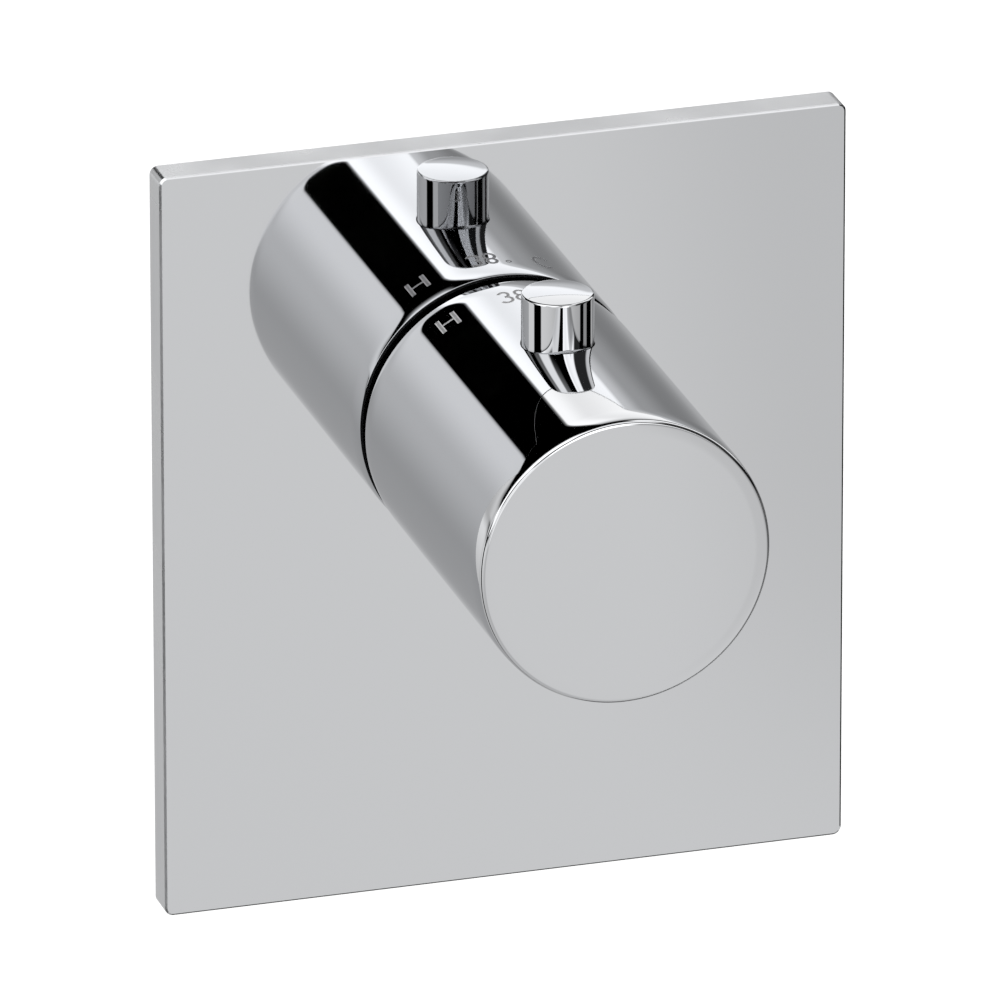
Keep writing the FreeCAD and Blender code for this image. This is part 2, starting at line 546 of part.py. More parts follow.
def wall_sleeve():
    """Thin tube screwed on the body's neck: the plate slides on it over a rubber ring."""
    node(turned("sleeve_turned", [
        ("neck_radius + seat_fit", "body_front"), ("sleeve_radius", "body_front"),
        ("sleeve_radius", "body_front + sleeve_length"),
        ("neck_radius + seat_fit", "body_front + sleeve_length")]), "wall_sleeve")
    node(seal_ring("plate_seal", "sleeve_radius + ring_section + seal_gap", "ring_section",
                   out=f"{PLATE_BACK} + plate_recess - 1.2 * ring_section"), "plate_seal_ring")


# ---------------------------------------------------------------- cartridge

def windows(name, rear, width, count):
    """Slots spread round the sleeve's wall, cut from its axis past its waist."""
    return [spoke(f"{name}_{i}", "window_width", width, "bore_radius", 180 / count * (2 * i + 1),
                  f"{rear} + {width}", "0") for i in range(count)]


def land(rear, front):
    """Corners of one land of the ported sleeve, with the groove for its rubber ring."""
    rim = "(bore_radius - slide_fit)"
    floor = "(bore_radius - 2 * ring_section - 2 * seal_gap)"
    middle = f"(({rear}) + ({front})) / 2"
    return [("waist_radius", rear), (rim, rear), (rim, f"{middle} - ring_section - groove_side"),
            (floor, f"{middle} - ring_section - groove_side"),
            (floor, f"{middle} + ring_section + groove_side"),
            (rim, f"{middle} + ring_section + groove_side"), (rim, front), ("waist_radius", front)]


def cartridge_sleeve():
    """Polymer sleeve with lands between the chambers and windows for cold, hot and mixed water."""
    lands = [("hot_chamber - land_width", "hot_chamber"), (HOT_FRONT, COLD_REAR),
             (COLD_FRONT, SLEEVE_FRONT)]
    outline = [("bulb_hole", "bore_floor"), ("waist_radius", "bore_floor")]
    for rear, front in lands[:2]:
        outline += land(rear, front)
    outline += land(*lands[2])[:-1]
    outline += [("shuttle_bore", SLEEVE_FRONT), ("shuttle_bore", "hot_seat"),
                ("mix_bore", "hot_seat"), ("mix_bore", "bore_floor + sleeve_floor"),
                ("bulb_hole", "bore_floor + sleeve_floor")]
    blank = turned("sleeve_blank", outline)
    slots = (windows("cold_window", f"{COLD_REAR} + cold_window_inset", "window_length", 6)
             + windows("hot_window", "hot_seat - hot_window_lap", "window_length", 6)
             + windows("mixed_window", "bore_floor + sleeve_floor + mixed_window_rise",
                       "mixed_window_length", 4))
    node(combine("cut", "sleeve_ported", [blank] + slots), "cartridge_sleeve")
    rings = []
    for i, (rear, front) in enumerate(lands):
        rings.append(seal_ring(f"land_ring_{i}", "bore_radius - ring_section - seal_gap",
                               "ring_section", out=f"(({rear}) + ({front})) / 2"))
    group = doc.addObject("Part::Compound", "land_ring_group")
    group.Links = rings
    node(group, "cartridge_seal_rings")


def headwork():
    """Brass front half of the cartridge: cold seat, cavity with key ways, bored tip."""
    blank = turned("headwork_turned", [
        ("cavity_radius", "nose_out"), ("shuttle_bore - seat_fit", "nose_out"),
        ("shuttle_bore - seat_fit", SLEEVE_FRONT), ("bore_radius - slide_fit", SLEEVE_FRONT),
        ("bore_radius - slide_fit", HEADWORK_FLANGE), ("headwork_radius", HEADWORK_FLANGE),
        ("headwork_radius", "step_out"), ("tip_radius", "step_out"), ("tip_radius", "tip_out"),
        ("spindle_radius + slide_fit", "tip_out"),
        ("spindle_radius + slide_fit", "cavity_front"), ("cavity_radius", "cavity_front")])
    ways = [block("key_way", "2 * (cavity_radius + key_depth + slide_fit)",
                  "cavity_front - adjuster_rear - key_way_margin", "key_width + 2 * slide_fit", "0",
                  "cavity_front", "0")]
    node(combine("cut", "headwork_keyed", [blank] + ways), "cartridge_headwork")

    front = f"({HEADWORK_FLANGE} + nut_length)"
    ring = turned("nut_turned", [
        ("headwork_radius + seat_fit", HEADWORK_FLANGE),
        ("bore_radius - slide_fit", HEADWORK_FLANGE), ("bore_radius - slide_fit", front),
        ("headwork_radius + seat_fit", front)])
    slots = [spoke(f"nut_slot_{i}", "key_width", "nut_length / 3", "2 * body_radius", 60 * i,
                   front, "-body_radius") for i in range(3)]
    node(combine("cut", "nut_slotted", [ring] + slots), "cartridge_nut")


def spindle():
    """Brass spindle: fast thread inside, sealed journal, spline and tapped end in the handle."""
    ring_places = ["cavity_front + journal_step", "cavity_front + 2 * journal_step"]
    groove = "(spindle_radius + slide_fit - 2 * shuttle_ring_section - 2 * seal_gap)"
    half = "(shuttle_ring_section + groove_side)"
    outline = [("0", "cavity_front - collar_thick - screw_length"),
               ("screw_radius", "cavity_front - collar_thick - screw_length"),
               ("screw_radius", "cavity_front - collar_thick"),
               ("collar_radius", "cavity_front - collar_thick"),
               ("collar_radius", "cavity_front - slide_fit"),
               ("spindle_radius", "cavity_front - slide_fit")]
    for middle in ring_places:
        outline += [("spindle_radius", f"{middle} - {half}"), (groove, f"{middle} - {half}"),
                    (groove, f"{middle} + {half}"), ("spindle_radius", f"{middle} + {half}")]
    outline += [("spindle_radius", "tip_out + slide_fit"),
                ("spindle_radius - circlip_groove", "tip_out + slide_fit"),
                ("spindle_radius - circlip_groove", "tip_out + circlip_thick + 2 * slide_fit"),
                ("spindle_radius", "tip_out + circlip_thick + 2 * slide_fit"),
                ("spindle_radius", "spindle_front"), ("0", "spindle_front")]
    blank = turned("spindle_turned", outline)
    tapped = rod("spindle_tapped", "insert_screw", "insert_screw_length", out="spindle_front "
                 "- insert_screw_length")
    teeth = []
    for i in range(int(size("spline_teeth"))):
        angle = 2 * math.pi * i / size("spline_teeth")
        teeth.append(rod(f"spline_gap_{i}", "spline_depth", "spindle_front - insert_out",
                         out="insert_out", x=f"spindle_radius * {math.cos(angle):.9f}",
                         z=f"spindle_radius * {math.sin(angle):.9f}"))
    node(combine("cut", "spindle_cut", [blank, tapped] + teeth), "spindle")
    rings = [seal_ring(f"spindle_ring_{i}", "spindle_radius + slide_fit - "
                       "shuttle_ring_section - seal_gap", "shuttle_ring_section", out=middle)
             for i, middle in enumerate(ring_places)]
    pair = doc.addObject("Part::Compound", "spindle_ring_pair")
    pair.Links = rings
    node(pair, "spindle_seal_rings")
    clip = turned("circlip_turned", washer(
        "spindle_radius - circlip_grip", "circlip_radius", "tip_out + 1.5 * slide_fit",
        "tip_out + circlip_thick + 1.5 * slide_fit"))
    gap = block("circlip_opening", "circlip_gap", "2 * circlip_thick", "circlip_radius", "0",
                "tip_out + 1.5 * circlip_thick", "circlip_back - circlip_radius")
    node(combine("cut", "circlip_open", [clip, gap]), "spindle_circlip")


def adjuster():
    """Nut that the spindle drives in and out, with the overload spring and plunger inside."""
    bore = "(cavity_radius - slide_fit - skirt_wall)"
    blank = turned("adjuster_turned", [
        (bore, "adjuster_rear"), ("cavity_radius - slide_fit", "adjuster_rear"),
        ("cavity_radius - slide_fit", "adjuster_front"),
        ("screw_radius + slide_fit", "adjuster_front"),
        ("screw_radius + slide_fit", "adjuster_face"), (bore, "adjuster_face")])
    keys = block("adjuster_keys", "2 * (cavity_radius + key_depth)",
                 "adjuster_front - adjuster_face", "key_width", "0", "adjuster_front", "0")
    core = rod("adjuster_core", bore, "adjuster_front - adjuster_face", out="adjuster_face")
    keys = combine("cut", "adjuster_key_pair", [keys, core])
    node(combine("fuse", "adjuster_keyed", [blank, keys]), "adjusting_nut")
    node(turned("retainer", washer(
        "pin_radius + retainer_width", f"{bore} - seat_fit", "adjuster_rear + retainer_inset",
        "plunger_out - slide_fit")), "plunger_retaining_ring")
    front = "(plunger_out + plunger_thick)"
    node(turned("plunger_turned", [
        ("0", "plunger_out"), (f"{bore} - slide_fit", "plunger_out"),
        (f"{bore} - slide_fit", front), ("plunger_boss", front),
        ("plunger_boss", f"{front} + plunger_boss_length"),
        ("0", f"{front} + plunger_boss_length")]), "overload_plunger")
    radius = (size("cavity_radius") - size("slide_fit") - size("skirt_wall") - size("spring_side_gap")
              - size("overload_wire"))
    coil("overload_spring", radius, size("overload_wire"),
         size("plunger_out") + size("plunger_thick"), size("adjuster_face"),
         size("overload_turns"), ROOM)
    node(rod("piston", "pin_radius", "plunger_out - shuttle_rear - shuttle_length",
             out="shuttle_rear + shuttle_length"), "piston_pin")


def shuttle():
    """Balanced shuttle clamped on the wax element, with its ring, clamp nut and return spring."""
    outer = "(shuttle_bore - 2 * slide_fit)"
    bore = f"({outer} - shuttle_wall)"
    web_front = "(web_rear + shuttle_web)"
    front = "(shuttle_rear + shuttle_length)"
    middle = f"({HOT_FRONT} + land_width / 2)"
    half = "(shuttle_ring_section + groove_side)"
    floor = "(shuttle_bore - 2 * shuttle_ring_section - 2 * seal_gap)"
    blank = turned("shuttle_turned", [
        (bore, "shuttle_rear"), (outer, "shuttle_rear"), (outer, f"{middle} - {half}"),
        (floor, f"{middle} - {half}"), (floor, f"{middle} + {half}"),
        (outer, f"{middle} + {half}"), (outer, front), (bore, front), (bore, web_front),
        ("stem_radius + seat_fit", web_front), ("stem_radius + seat_fit", "web_rear"),
        (bore, "web_rear")])
    holes = []
    for i in range(8):
        angle = 2 * math.pi * i / 8
        holes.append(rod(f"shuttle_hole_{i}", "balance_hole", "shuttle_web", out="web_rear",
                         x=f"balance_circle * {math.cos(angle):.9f}",
                         z=f"balance_circle * {math.sin(angle):.9f}"))
    node(combine("cut", "shuttle_drilled", [blank] + holes), "shuttle")
    node(seal_ring("shuttle_ring", "shuttle_bore - seal_gap - shuttle_ring_section",
                   "shuttle_ring_section", out=middle), "shuttle_seal_ring")

    flange_rear = "(web_rear - element_flange_thick)"
    node(turned("element_turned", [
        ("0", "bulb_rear"), ("bulb_radius - bulb_chamfer", "bulb_rear"),
        ("bulb_radius", "bulb_rear + bulb_chamfer"),
        ("bulb_radius", flange_rear), ("element_flange", flange_rear),
        ("element_flange", "web_rear"), ("stem_radius", "web_rear"),
        ("stem_radius", "stem_front"), ("pin_radius + slide_fit", "stem_front"),
        ("pin_radius + slide_fit", f"{web_front} + stem_floor"),
        ("0", f"{web_front} + stem_floor")]),
        "wax_element")
    nut = hexagon("clamp_nut_blank", "clamp_nut_radius", "clamp_nut_thick", web_front)
    bore_of_nut = rod("clamp_nut_bore", "stem_radius + seat_fit", "clamp_nut_thick",
                      out=web_front)
    node(combine("cut", "clamp_nut_cut", [nut, bore_of_nut]), "element_clamp_nut")
    radius = (size("bulb_radius") + size("element_flange")) / 2 + size("return_side_gap")
    coil("return_spring", radius, size("return_wire"),
         size("bore_floor") + size("sleeve_floor"),
         size("web_rear") - size("element_flange_thick"), size("return_turns"), ROOM)


# ---------------------------------------------------------------- check valves in the inlets

def check_valve(side, turn, sign):
    """Strainer disc, check-valve housing with its ring, poppet and spring in one inlet."""
    inner = POCKET_FLOOR
    outer = f"({inner} + check_length)"
    seat = f"({outer} - check_seat)"
    rim = "(pocket_radius - slide_fit)"
    middle = f"({seat} - check_ring_back)"
    half = "(check_ring_section + groove_side)"
    floor = "(pocket_radius - 2 * check_ring_section - 2 * seal_gap)"
    spider = f"({inner} + spider_rise)"
    spider_front = f"({spider} + spider_thick)"
    stem_end = f"({inner} + poppet_travel + 2 * slide_fit)"
    where = {"out": "inlet_out"}
    housing = turned(f"check_housing_{side}_turned", [
        ("check_bore", inner), (rim, inner), (rim, f"{middle} - {half}"),
        (floor, f"{middle} - {half}"), (floor, f"{middle} + {half}"),
        (rim, f"{middle} + {half}"), (rim, outer), ("check_throat", outer),
        ("check_throat", seat), ("check_bore", seat), ("check_bore", spider_front),
        ("poppet_stem + slide_fit", spider_front), ("poppet_stem + slide_fit", spider),
        ("check_bore", spider)], turn, **where)
    holes = []
    for i in range(6):
        angle = 2 * math.pi * i / 6
        holes.append(rod(f"spider_{side}_{i}", "spider_hole", "2 * spider_thick", turn,
                         x=f"{sign} * ({spider} - spider_thick / 2)",
                         out=f"inlet_out + spider_circle * {math.cos(angle):.9f}",
                         z=f"spider_circle * {math.sin(angle):.9f}"))
    node(combine("cut", f"check_housing_{side}_cut", [housing] + holes),
         f"{side}_check_housing")
    node(seal_ring(f"check_ring_{side}", "pocket_radius - seal_gap - check_ring_section",
                   "check_ring_section", turn, x=f"{sign} * {middle}", **where),
         f"{side}_check_seal_ring")
    back = f"({seat} - slide_fit - poppet_thick)"
    node(turned(f"poppet_{side}", [
        ("0", stem_end), ("poppet_stem", stem_end), ("poppet_stem", back),
        ("poppet_radius", back),
        ("poppet_radius", f"{seat} - slide_fit"), ("0", f"{seat} - slide_fit")],
        turn, **where), f"{side}_check_poppet")
    depth = size("inlet_reach") - size("port_depth") - size("pocket_depth")
    high = (depth + size("check_length") - size("check_seat") - size("slide_fit")
            - size("poppet_thick"))
    coil(f"{side}_check_spring", size("poppet_stem") + size("check_wire") + size("spring_side_gap"),
         size("check_wire"), depth + size("spider_rise") + size("spider_thick"), high,
         size("check_turns"), turn, out=size("inlet_out"))
    strainer = f"{sign} * ({outer} + slide_fit)"
    disc = rod(f"filter_disc_{side}", rim, "filter_thick", turn, x=strainer, **where)
    mesh = []
    for ring, count in ((0, 1), (1, 6), (2, 12), (3, 18)):
        for i in range(count):
            angle = 2 * math.pi * i / count
            mesh.append(rod(f"filter_hole_{side}_{ring}_{i}", "filter_hole",
                            "filter_thick", turn, x=strainer,
                            out=f"inlet_out + filter_pitch * {ring * math.cos(angle):.9f}",
                            z=f"filter_pitch * {ring * math.sin(angle):.9f}"))
    node(combine("cut", f"filter_{side}_cut", [disc] + mesh), f"{side}_inlet_filter")


cover_plate()
wall_gasket()
temperature_handle()
stop_button()
handle_insert()
handle_screws()
safety_stop()
valve_body()
mounting_bracket()
wall_sleeve()
cartridge_sleeve()
headwork()
spindle()
adjuster()
shuttle()
check_valve("hot", LEFT, -1)
check_valve("cold", RIGHT, 1)

doc.recompute()
for thing in doc.Objects:
    failed = [word for word in ("Invalid", "Error") if word in thing.State]
    if failed:
        raise RuntimeError(f"{thing.Label} failed: {thing.State}")
for piece in nodes:
    if piece.Shape.isNull() or not piece.Shape.isValid():
        raise RuntimeError(f"{piece.Label} has no valid shape")

os.makedirs("parts", exist_ok=True)
for piece in nodes:
    piece.Shape.exportStep(f"parts/{piece.Label}.step")
print(len(nodes), "nodes")
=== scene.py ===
import json
import math

import bmesh
import bpy
import numpy as np
from mathutils import Matrix, Vector


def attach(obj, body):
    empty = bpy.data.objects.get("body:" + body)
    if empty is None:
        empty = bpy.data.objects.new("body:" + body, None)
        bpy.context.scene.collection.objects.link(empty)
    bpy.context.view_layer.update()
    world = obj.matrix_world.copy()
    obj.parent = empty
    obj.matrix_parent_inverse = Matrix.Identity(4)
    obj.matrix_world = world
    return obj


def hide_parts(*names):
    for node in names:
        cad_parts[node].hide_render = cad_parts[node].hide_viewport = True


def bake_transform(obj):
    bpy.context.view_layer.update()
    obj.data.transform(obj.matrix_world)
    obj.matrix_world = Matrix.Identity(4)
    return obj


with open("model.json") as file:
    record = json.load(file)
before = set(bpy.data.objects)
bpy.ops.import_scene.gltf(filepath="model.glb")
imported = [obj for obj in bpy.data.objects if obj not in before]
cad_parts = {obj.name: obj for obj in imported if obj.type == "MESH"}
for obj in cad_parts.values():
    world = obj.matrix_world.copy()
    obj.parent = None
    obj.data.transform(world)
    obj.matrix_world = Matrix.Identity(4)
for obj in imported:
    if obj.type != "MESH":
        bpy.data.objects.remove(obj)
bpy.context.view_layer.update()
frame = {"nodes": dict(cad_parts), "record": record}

# ------------------------------------------------------------------ camera
# A long lens from the upper left, at the distance where the plate's edges converge as they do
# in the picture.
LENS, SENSOR, FAR = 650.9, 36.0, 60.0
STANDS = (-0.82908, -2.75647, 1.12957)
azimuth, elevation, roll = (math.radians(angle) for angle in (-17.086, 22.099, -0.0446))
camera = bpy.data.objects.new("camera", bpy.data.cameras.new("camera"))
bpy.context.scene.collection.objects.link(camera)
camera.data.lens = LENS
camera.data.sensor_width = SENSOR
camera.data.clip_end = FAR
back = Vector((math.sin(azimuth) * math.cos(elevation),
               -math.cos(azimuth) * math.cos(elevation), math.sin(elevation)))
level = Vector((math.cos(azimuth), math.sin(azimuth), 0.0))
upright = back.cross(level)
right = math.cos(roll) * level + math.sin(roll) * upright
top = math.cos(roll) * upright - math.sin(roll) * level
camera.matrix_world = Matrix.Translation(STANDS) @ Matrix((right, top, back)).transposed().to_4x4()
bpy.context.scene.camera = camera
bpy.context.scene.view_settings.view_transform = "Standard"


def material(name):
    """An empty node material and a function that adds a node and sets its inputs by name. The
    helpers further down add to the material that was opened last."""
    made = bpy.data.materials.new(name)
    made.use_nodes = True
    made.node_tree.nodes.clear()
    return made, node_maker(made.node_tree)


def node_maker(tree):
    """A function that adds one node: sockets are given by name or number, as values or links."""
    def add(kind, inputs=None, **settings):
        node = tree.nodes.new(kind)
        for name, value in settings.items():
            setattr(node, name, value)
        for name, value in (inputs or {}).items():
            if isinstance(value, bpy.types.NodeSocket):
                tree.links.new(value, node.inputs[name])
            else:
                node.inputs[name].default_value = value
        return node
    return add


# ------------------------------------------------------------------ floor
# Plain pale floor some way below the valve. It renders white and still takes a shadow.
FLOOR_HALF, FLOOR_Z, FLOOR_GLOW = 9.0, -0.35, 0.30


def sums(operation, *inputs):
    """One or two numbers put through a Math node."""
    return add("ShaderNodeMath", dict(enumerate(inputs)), operation=operation).outputs[0]


def looked_at():
    """1 for what the camera, metal and glass see, and 0 for the light that falls on things."""
    path = add("ShaderNodeLightPath").outputs
    mirrored = sums("MAXIMUM", path["Is Camera Ray"], path["Is Glossy Ray"])
    return sums("MAXIMUM", mirrored, path["Is Transmission Ray"])


floor_mesh = bpy.data.meshes.new("floor")
floor_mesh.from_pydata([(x * FLOOR_HALF, y * FLOOR_HALF, FLOOR_Z)
                        for x, y in ((-1, -1), (1, -1), (1, 1), (-1, 1))], [], [(0, 1, 2, 3)])
floor = bpy.data.objects.new("floor", floor_mesh)
bpy.context.scene.collection.objects.link(floor)
floor.visible_glossy = False
paint, add = material("floor_paint")
lift = sums("MULTIPLY", looked_at(), FLOOR_GLOW)
glow = add("ShaderNodeEmission", {"Color": (1, 1, 1, 1), "Strength": lift})
matt = add("ShaderNodeBsdfDiffuse", {"Color": (0.8, 0.8, 0.8, 1)})
both = add("ShaderNodeAddShader", {0: glow.outputs[0], 1: matt.outputs[0]})
add("ShaderNodeOutputMaterial", {"Surface": both.outputs[0]})
floor_mesh.materials.append(paint)

# ------------------------------------------------------------------ world
# White to the camera and to metal, and a plain level of light on everything else.
world = bpy.data.worlds.new("studio")
bpy.context.scene.world = world
world.use_nodes = True
world.node_tree.nodes.clear()
add = node_maker(world.node_tree)
strength = add("ShaderNodeMapRange", {"Value": looked_at(), "To Min": 0.55, "To Max": 1.0})
sky = add("ShaderNodeBackground", {"Color": (1, 1, 1, 1), "Strength": strength.outputs[0]})
add("ShaderNodeOutputWorld", {"Surface": sky.outputs[0]})

# ------------------------------------------------------------------ studio cards
# A dome all round, too far off to shift along the handle, with a white softbox above right, a
# black card left of it, dark flags at the sides and a bright sheet overhead. It shows only in
# reflections. Each step below changes its brightness, called tone.
DOME, STEPS, TILTS = 7.0, 96, 45
turns = np.arange(STEPS) * 2 * np.pi / STEPS
tilts = np.radians(np.linspace(2, 178, TILTS))
grid_tilt, grid_turn = np.meshgrid(tilts, turns, indexing="ij")
dome_points = DOME * np.stack([np.sin(grid_tilt) * np.cos(grid_turn), -np.cos(grid_tilt),
                               np.sin(grid_tilt) * np.sin(grid_turn)], -1).reshape(-1, 3)
cell = np.arange(STEPS * (TILTS - 1))
after = cell - cell % STEPS + (cell + 1) % STEPS
dome_mesh = bpy.data.meshes.new("studio_cards")
dome_mesh.from_pydata(dome_points.tolist(), [],
                      np.stack([cell, after, after + STEPS, cell + STEPS], -1).tolist())
dome = bpy.data.objects.new("studio_cards", dome_mesh)
bpy.context.scene.collection.objects.link(dome)
dome.visible_camera = False
dome.visible_diffuse = False
dome.visible_shadow = False
dome.visible_transmission = False
cloth, add = material("card_cloth")


def spread(source, low, high, start=0.0, end=1.0):
    """A number that goes smoothly from start to end while the source goes from low to high."""
    return add("ShaderNodeMapRange", {"Value": source, "From Min": low, "From Max": high,
                                      "To Min": start, "To Max": end},
               interpolation_type="SMOOTHSTEP").outputs[0]


def graded(source, stops, low, high, full):
    """A grey that goes smoothly between stops of (place, brightness); full is its brightest."""
    ramp = add("ShaderNodeValToRGB", {0: sums("DIVIDE", sums("SUBTRACT", source, low),
                                              high - low)})
    ramp.color_ramp.interpolation = "EASE"
    while len(ramp.color_ramp.elements) < len(stops):
        ramp.color_ramp.elements.new(0.5)
    for stop, (where, light) in zip(ramp.color_ramp.elements, stops):
        stop.position = (where - low) / (high - low)
        stop.color = (light / full,) * 3 + (1,)
    return sums("MULTIPLY", ramp.outputs["Color"], full)


def blended(share, first, second):
    """The first number, or the second as the share goes from 0 to 1."""
    return add("ShaderNodeMix", {0: share, 2: first, 3: second}).outputs[0]


place = add("ShaderNodeTexCoord").outputs["Object"]
unit = add("ShaderNodeVectorMath", {0: place}, operation="NORMALIZE")
side, depth, height = add("ShaderNodeSeparateXYZ", {0: unit.outputs[0]}).outputs
aside = add("ShaderNodeVectorMath", {0: unit.outputs[0], 1: (1, 0, 1)}, operation="MULTIPLY")
offset = add("ShaderNodeVectorMath", {0: aside.outputs[0]}, operation="LENGTH").outputs["Value"]
# bearing above the right horizon, in degrees; the black card's corners towards the valve's
# axis are rounded, and away from it everything spreads apart
bearing = sums("MULTIPLY", sums("ARCTAN2", height, side), 180 / math.pi)
MIDDLE, ROUNDED = 114.0, 13.0
turned_off = sums("SUBTRACT", bearing, MIDDLE)
near = add("ShaderNodeMapRange", {"Value": offset, "From Min": 0.445, "From Max": 0.30}).outputs[0]
bend = sums("SUBTRACT", 1.0, sums("SQRT", sums("SUBTRACT", 1.0, sums("MULTIPLY", near, near))))
rounded = sums("ADD", sums("ABSOLUTE", turned_off), sums("MULTIPLY", bend, ROUNDED))
fan = blended(spread(bearing, 100, 125), spread(offset, 0.49, 0.72, 1.0, 0.45),
              spread(offset, 0.54, 0.68, 1.0, 0.42))
drawn = sums("ADD", sums("MULTIPLY", sums("MULTIPLY", rounded, sums("SIGN", turned_off)), fan),
             MIDDLE)
inside = blended(spread(height, 0.0, 0.03), bearing, drawn)
# the room by bearing: a left wall that dims downwards, a pale patch on the floor, a dim right
# wall that brightens up to the softbox, the softbox, the black card and a bright wall beyond
LEFT_WALL, LEFT_FOOT, FLOOR_DIM, FLOOR_PATCH, RIGHT_WALL = 1.2, 0.78, 0.73, 1.0, 0.5
BELOW_SOFTBOX, SOFTBOX_EDGE, SOFTBOX_LOW, SOFTBOX, SOFTBOX_TOP = 0.82, 1.5, 2.7, 2.4, 3.0
BEYOND = 1.75
tone = graded(inside, [
    (-180, LEFT_WALL), (-132, LEFT_FOOT), (-90, FLOOR_DIM), (-54, FLOOR_PATCH),
    (0, RIGHT_WALL), (6, RIGHT_WALL), (32, BELOW_SOFTBOX), (46, SOFTBOX_EDGE),
    (49, SOFTBOX_LOW), (75, SOFTBOX), (91, SOFTBOX_TOP), (93.5, SOFTBOX_TOP),
    (94.5, 0.0), (134, 0.0), (135.5, BEYOND), (145, BEYOND), (180, LEFT_WALL)],
    -180, 180, SOFTBOX_TOP)
# straight in front of the handle hangs a round pale card, brighter at its upper right
centre = blended(sums("MULTIPLY", spread(bearing, -30, -10), spread(bearing, 112, 96)), 1.5, 2.9)
tone = blended(spread(offset, 0.312, 0.288), tone, centre)
# above the horizon the room falls dark towards the sides, except low on the left
above = spread(height, -0.15, 0.0)
in_front = sums("MAXIMUM", spread(depth, 0.15, -0.05), spread(offset, 0.86, 0.80))
dark = sums("MULTIPLY", sums("MULTIPLY", spread(offset, 0.60, 0.67), above),
            sums("MULTIPLY", spread(bearing, 172, 158), in_front))
tone = sums("MULTIPLY", tone, blended(dark, 1.0, 0.02))
# a bright sheet hangs overhead and on the left, and comes further in high on the left
left_top = sums("MULTIPLY", spread(bearing, 96, 106), spread(height, 0.42, 0.52))
sheet = blended(left_top, sums("MULTIPLY", spread(offset, 0.80, 0.88), spread(depth, 0.05, -0.12)),
                sums("MULTIPLY", spread(offset, 0.60, 0.68), spread(depth, 0.35, 0.20)))
sheet = sums("MULTIPLY", sums("MULTIPLY", above, sheet), spread(bearing, 50, 60))
tone = blended(sheet, tone, spread(bearing, 84, 106, 1.5, 2.1))
# three black flags and a dark wall at the sides, by compass bearing from straight in front
compass = sums("MULTIPLY", sums("ARCTAN2", side, sums("MULTIPLY", depth, -1)), 180 / math.pi)
flags = graded(compass, [(-180, 0.72), (-124, 0.78), (-120, 1), (-97, 1), (-95, 0), (-71, 0),
                         (-69, 1), (56, 1), (58, 0), (70, 0), (72, 0.7), (84, 0.7), (86, 0),
                         (109, 0), (111, 1), (125, 1), (127, 0.05), (160, 0.05), (163, 0.7)],
               -180, 180, 1.0)
low = sums("MULTIPLY", spread(offset, 0.6, 0.7), spread(height, 0.25, 0.1))
tone = sums("MULTIPLY", tone, blended(low, 1.0, flags))
# a patch low on the right is a little dimmer, the room behind the valve dimmer still, and most
# of all straight behind it
PATCH_DIM, BEHIND_DIM, STRAIGHT_DIM = 0.88, 0.57, 0.62
dim_patch = sums("MULTIPLY", spread(side, 0.274, 0.296), spread(height, -0.41, -0.37))
dim_patch = sums("MULTIPLY", dim_patch, spread(height, -0.2, -0.3))
tone = sums("MULTIPLY", tone, blended(dim_patch, 1.0, PATCH_DIM))
behind = sums("MULTIPLY", spread(depth, -0.05, 0.05), spread(height, -0.1, 0.0))
tone = sums("MULTIPLY", tone, blended(behind, 1.0, BEHIND_DIM))
tone = sums("MULTIPLY", tone, spread(depth, 0.86, 0.97, 1.0, STRAIGHT_DIM))
glow = add("ShaderNodeEmission", {"Color": (1, 1, 1, 1), "Strength": tone})
add("ShaderNodeOutputMaterial", {"Surface": glow.outputs[0]})
dome_mesh.materials.append(cloth)

# ------------------------------------------------------------------ lamps
# Two large soft lamps for the pieces that aren't mirror bright: one above and in front on the
# left, and a weaker one behind on the right.
for name, power, stands in (("lamp_front", 38.0, (-1.0, -1.6, 2.2)),
                            ("lamp_behind", 26.0, (1.2, 1.9, 1.6))):
    lamp = bpy.data.objects.new(name, bpy.data.lights.new(name, "AREA"))
    bpy.context.scene.collection.objects.link(lamp)
    lamp.data.shape = "DISK"
    lamp.data.size = 1.6
    lamp.data.energy = power
    lamp.location = stands
    lamp.rotation_euler = Vector(stands).to_track_quat("Z", "Y").to_euler()
    lamp.visible_glossy = False

# ------------------------------------------------------------------ mounting bracket
# Cross plate screwed to the wall, pressed from 2 mm stainless sheet. Rolling leaves a long fine
# grain along it, and handling leaves soft smears.
BODY = {node: body for body, nodes in frame["record"]["behaviour"]["bodies"].items()
        for node in nodes}


def surface(name):
    """A new material, its node maker, and the place on a piece in the piece's own metres."""
    made, add = material(name)
    return made, add, add("ShaderNodeTexCoord").outputs["Object"]


def noise(where, scale, detail=3.0, rough=0.5):
    """Cloud noise from 0 to 1 at a place, with its scale in cells per metre."""
    return add("ShaderNodeTexNoise", {"Vector": where, "Scale": scale, "Detail": detail,
                                      "Roughness": rough}).outputs["Fac"]


def stretched(where, size):
    """A place with each axis multiplied, so that the noise on it is drawn out."""
    return add("ShaderNodeVectorMath", {0: where, 1: size}, operation="MULTIPLY").outputs[0]


def tinted(share, first, second):
    """The first colour, or the second as the share goes from 0 to 1."""
    return add("ShaderNodeMix", {0: share, 6: first, 7: second}, data_type="RGBA").outputs[2]


def skin(colour, rough, height, depth, metal=0.0):
    """Ends a material: colour, roughness, and a bump of this depth in metres."""
    bump = add("ShaderNodeBump", {"Height": height, "Strength": 1.0, "Distance": depth})
    shader = add("ShaderNodeBsdfPrincipled", {
        "Base Color": colour, "Roughness": rough, "Normal": bump.outputs[0], "Metallic": metal})
    add("ShaderNodeOutputMaterial", {"Surface": shader.outputs[0]})


